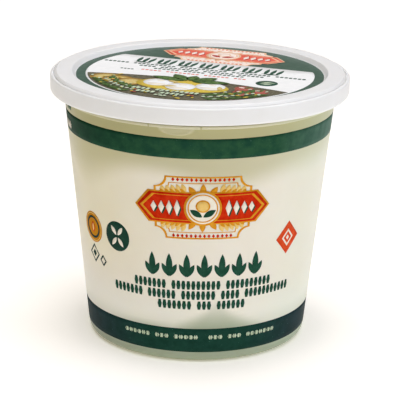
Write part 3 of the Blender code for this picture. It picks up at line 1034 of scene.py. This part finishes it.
def print_in_inks():
    """Draws all artwork and makes one piece of each ink on each surface."""
    inks = {
        "green": ink("green_ink", "163A2F", "1F463A", varied=band_ink_light_and_shade),
        "soft_green": ink("soft_green_ink", "1B4433", "2A5644"),
        "red": ink("red_ink", "BC1A00", "D43A14"),
        "vermilion": ink("vermilion_ink", "CE3A10", "DE5A30"),
        "gold": ink("gold_ink", "D48A14", "E4A434"),
        "deep_gold": ink("deep_gold_ink", "C07A00", "CC8A12"),
        "pale_gold": ink("pale_gold_ink", "E6BC60", "F0CE84"),
        "cream": ink("cream_ink", "EFE6D3", "F5EEDF"),
        "pale": ink("pale_green_ink", "BFD0B0", "CEDBC0"),
        "label_green": ink("label_green_ink", "304F42", "41614F"),
        "coral": ink("coral_ink", "D65846", "E67A66"),
        "peach": ink("peach_ink", "F0BE96", "F4CBA8"),
        "blush": ink("blush_ink", "F2E0D4", "F8EAE0"),
        "rust": ink("rust_ink", "A83226", "B8453A"),
        "white": ink("white_ink", "E9EAE8", "F1F1EF"),
        "board": ink("dark_wood_ink", "4C483E", "7C7862", patch=1.2),
        "crust": ink("crust_ink", "96753A", "C09A50", patch=1.0),
        "crumb": ink("crumb_ink", "C0A860", "DCC98E", patch=0.8),
        "oil": ink("oil_ink", "C4A838", "DEC664", patch=1.0),
        "leaf": ink("leaf_ink", "34562F", "6E8450", patch=1.2),
        "tomato": ink("tomato_ink", "96413C", "C07A6A", patch=1.2),
    }
    for place, draw, slot in (
        ("wall", draw_wall_print, "tub_plastic"),
        ("label", draw_label_print, "label_film"),
    ):
        art = Artwork()
        draw(art)
        for ink_name in art.patches:
            art.make(f"{place}_print_{ink_name}", ink_name, inks[ink_name])


# ---------------------------------------------------------------------------------------------
# The stage


def area_light(name, place, size, power, colour):
    """A soft light of a size in millimetres, which faces the middle of the tub."""
    data = bpy.data.lights.new(name, "AREA")
    data.shape = "RECTANGLE"
    data.size, data.size_y = size[0] * MM, size[1] * MM
    data.energy = power
    data.color = linear(colour)[:3]
    made = bpy.data.objects.new(name, data)
    bpy.context.scene.collection.objects.link(made)
    made.location = Vector(place) * MM
    middle = Vector((0.0, 0.0, LID_TOP / 2 * MM))
    made.rotation_euler = (middle - made.location).to_track_quat("-Z", "Y").to_euler()


def make_stage():
    """A plain white floor, pale surroundings, and soft lights above, in front and at the right. The
    floor shines a little, and more far away, so that it is white up to the foot and to its end."""
    corners = FLOOR_REACH * np.array([(-1, -1, 0), (1, -1, 0), (1, 1, 0), (-1, 1, 0)])
    mesh = bpy.data.meshes.new("floor")
    mesh.from_pydata((corners * MM).tolist(), [], [(0, 1, 2, 3)])
    paper, tree, shader = finish("white_paper", Base_Color="FFFFFF", Roughness=0.9)
    place = node(tree, "TexCoord", None, "Object")
    away = node(tree, "VectorMath", {"operation": "LENGTH"}, Vector=place)
    far = node(tree, "MapRange", Value=away, From_Min=400 * MM, From_Max=1600 * MM)
    tint = node(tree, "Mix", MIXED, Factor=far, A="FFF4DB", B="FFFFFF")
    glow = node(tree, "MapRange", Value=far, To_Min=FLOOR_GLOW, To_Max=FAR_GLOW)
    feed(tree, shader, Emission_Color=tint, Emission_Strength=glow)
    mesh.materials.append(paper)
    floor = bpy.data.objects.new("floor", mesh)
    bpy.context.scene.collection.objects.link(floor)
    world = bpy.data.worlds.new("pale_room")
    world.use_nodes = True
    background = world.node_tree.nodes["Background"]
    feed(world.node_tree, background, Color="FFE0A8", Strength=ROOM_GLOW)
    bpy.context.scene.world = world
    area_light("light_above", (0.0, 20.0, 1300.0), (1400.0, 1400.0), 19.6, "FAFAFF")
    area_light("light_front", (450.0, -1450.0, 700.0), (1000.0, 800.0), 4.9, "F1F6FF")
    area_light("light_right", (1000.0, -350.0, 600.0), (900.0, 1000.0), 2.6, "D6E4FF")
    bpy.context.scene.view_settings.view_transform = "Standard"


def make_camera():
    """The camera in front of the tub and a little above it, at the photograph's angle: it looks
    along +Y, tilted down, and rolled a little about its own view."""
    data = bpy.data.cameras.new("camera")
    data.sensor_width = 36.0
    data.lens = CAMERA_LENS
    data.clip_start, data.clip_end = 0.01, 20.0
    made = bpy.data.objects.new("camera", data)
    bpy.context.scene.collection.objects.link(made)
    down = math.radians(CAMERA_DOWN)
    back = Vector((0.0, -math.cos(down), math.sin(down)))
    made.matrix_world = (
        Matrix.Translation((Vector(CAMERA_TARGET) + back * CAMERA_DISTANCE) * MM)
        @ Matrix.Rotation(math.pi / 2 - down, 4, "X")
        @ Matrix.Rotation(math.radians(CAMERA_ROLL), 4, "Z")
    )
    bpy.context.scene.camera = made


def main():
    """Sets the camera and the stage, and makes the tub, its lid and label, what is in it, and the
    print."""
    make_camera()
    make_stage()
    make_tub(natural_polypropylene())
    make_lid(white_polypropylene())
    # The film's green is painted paler: a painted reflection of the bright room and floor on its
    # gloss.
    make_label(ink("label_film_green_and_glare", "495E52", "53695D", 0.32))
    cheese = burrata()
    for name in BALL_SIDES:
        make_ball(name, cheese)
    make_liquid(creamy_whey())
    print_in_inks()


main()
